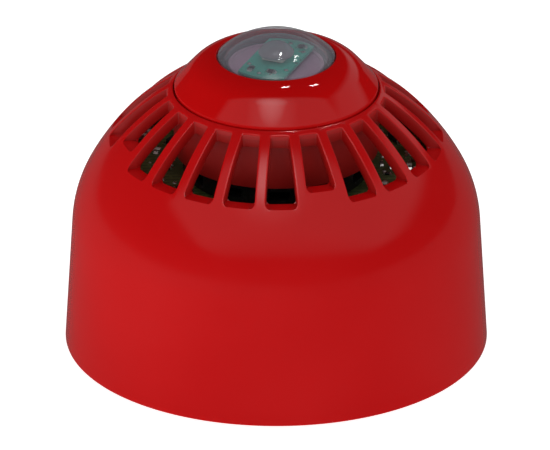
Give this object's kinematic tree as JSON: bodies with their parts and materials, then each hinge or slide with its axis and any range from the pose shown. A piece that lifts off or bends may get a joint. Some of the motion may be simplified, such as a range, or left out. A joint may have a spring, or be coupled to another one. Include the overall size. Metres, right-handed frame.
{
  "type": "horn strobe",
  "caption": "Round dome-shaped alarm sounder with radial sound slots, a clear beacon lens in its crown and a twist-lock mounting base.",
  "frame": {"origin": "centre of the underside of the mounting base, where it meets the wall", "axes": "+Z out of the wall along the axis of the dome, towards the lens; -Y is the side shown in the reference view"},
  "size_m": [0.1, 0.1, 0.079],
  "materials": {
    "red_plastic": "deep red self-coloured moulded plastic with a soft gloss",
    "clear_lens": "clear polycarbonate, polished",
    "black_plastic": "black moulded plastic, satin",
    "black_rubber": "black rubber seal",
    "grey_plastic": "mauve-grey moulded plastic, satin",
    "board_green": "green solder mask over glass fibre",
    "brass": "brass, dull",
    "steel": "zinc-plated steel",
    "ceramic_white": "off-white ceramic",
    "dark_ferrite": "dark grey ferrite, rough",
    "capacitor_sleeve": "dark shrink sleeve",
    "switch_blue": "blue moulded plastic",
    "white_plastic": "white moulded plastic",
    "lead_sheath": "red cable sheath"
  },
  "bodies": {
    "base": {"mounting_base": "red_plastic", "wall_gasket": "black_rubber", "terminal_block": "black_plastic", "terminal_screw_1": "steel", "terminal_screw_2": "steel", "terminal_screw_3": "steel", "terminal_screw_4": "steel", "terminal_screw_5": "steel", "terminal_screw_6": "steel", "base_contact_1": "brass", "base_contact_2": "brass", "base_contact_3": "brass", "base_contact_4": "brass"},
    "head": {"dome_housing": "red_plastic", "bezel_cap": "red_plastic", "lens_seal": "black_rubber", "head_seal": "black_rubber", "rear_cover": "black_plastic", "sounder_capsule": "black_plastic", "controller_chip": "black_plastic", "board_header": "black_plastic", "cover_screw_1": "steel", "cover_screw_2": "steel", "cover_screw_3": "steel", "head_contact_1": "brass", "head_contact_2": "brass", "head_contact_3": "brass", "head_contact_4": "brass", "piezo_plate": "brass", "lens": "clear_lens", "led_optic": "clear_lens", "lens_retainer": "grey_plastic", "led_carrier": "grey_plastic", "strobe_board": "board_green", "driver_board": "board_green", "main_board": "board_green", "interface_board": "board_green", "led_package": "ceramic_white", "piezo_ceramic": "ceramic_white", "driver_coil": "dark_ferrite", "sounder_transformer": "dark_ferrite", "strobe_capacitor": "capacitor_sleeve", "reservoir_capacitor_1": "capacitor_sleeve", "reservoir_capacitor_2": "capacitor_sleeve", "strobe_lead": "lead_sheath", "board_standoff_1": "white_plastic", "board_standoff_2": "white_plastic", "board_standoff_3": "white_plastic", "tone_switch": "switch_blue", "volume_body": "switch_blue"},
    "tone_slider_1": {"tone_slider_1": "white_plastic"},
    "tone_slider_2": {"tone_slider_2": "white_plastic"},
    "tone_slider_3": {"tone_slider_3": "white_plastic"},
    "tone_slider_4": {"tone_slider_4": "white_plastic"},
    "tone_slider_5": {"tone_slider_5": "white_plastic"},
    "volume_rotor": {"volume_rotor": "white_plastic"}
  },
  "joints": [
    {"name": "head_twist", "type": "hinge", "parent": "base", "child": "head", "pos_m": [0, 0, 0], "axis": [0, 0, 1], "range_deg": [0, 22]},
    {"name": "tone_slide_1", "type": "slide", "parent": "head", "child": "tone_slider_1", "axis": [0, 1, 0], "range_m": [0, 0.0014]},
    {"name": "tone_slide_2", "type": "slide", "parent": "head", "child": "tone_slider_2", "axis": [0, 1, 0], "range_m": [0, 0.0014]},
    {"name": "tone_slide_3", "type": "slide", "parent": "head", "child": "tone_slider_3", "axis": [0, 1, 0], "range_m": [0, 0.0014]},
    {"name": "tone_slide_4", "type": "slide", "parent": "head", "child": "tone_slider_4", "axis": [0, 1, 0], "range_m": [0, 0.0014]},
    {"name": "tone_slide_5", "type": "slide", "parent": "head", "child": "tone_slider_5", "axis": [0, 1, 0], "range_m": [0, 0.0014]},
    {"name": "volume_turn", "type": "hinge", "parent": "head", "child": "volume_rotor", "pos_m": [0.012, -0.017, 0.0165], "axis": [0, 0, 1], "range_deg": [0, 270]}
  ]
}
